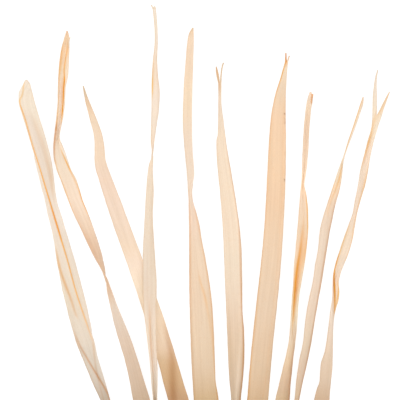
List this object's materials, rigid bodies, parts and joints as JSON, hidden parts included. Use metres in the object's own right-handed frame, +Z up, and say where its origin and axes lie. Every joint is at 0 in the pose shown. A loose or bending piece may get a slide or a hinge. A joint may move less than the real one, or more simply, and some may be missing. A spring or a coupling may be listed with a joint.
{
  "type": "dried date palm frond",
  "caption": "Cut tip of a dried palm frond lying flat: a tapering stem with narrow, straw-coloured leaflets fanning out on both sides.",
  "frame": {"origin": "under the middle of the whole frond's box, on the surface it lies on", "axes": "+Y along the stem from its cut end to the leaflet tips, +X to the right seen from above, +Z up from the surface"},
  "size_m": [0.3316, 0.7056, 0.0163],
  "materials": {
    "leaflet": "dry, matte, finely ribbed lengthwise, a little translucent",
    "rachis": "dry, matte, fibrous"
  },
  "bodies": {
    "root": {"rachis": "rachis", "leaflet_left_1": "leaflet", "leaflet_left_2": "leaflet", "leaflet_left_3": "leaflet", "leaflet_left_4": "leaflet", "leaflet_left_5": "leaflet", "leaflet_right_1": "leaflet", "leaflet_right_2": "leaflet", "leaflet_right_3": "leaflet", "leaflet_right_4": "leaflet", "leaflet_right_5": "leaflet"}
  },
  "joints": []
}
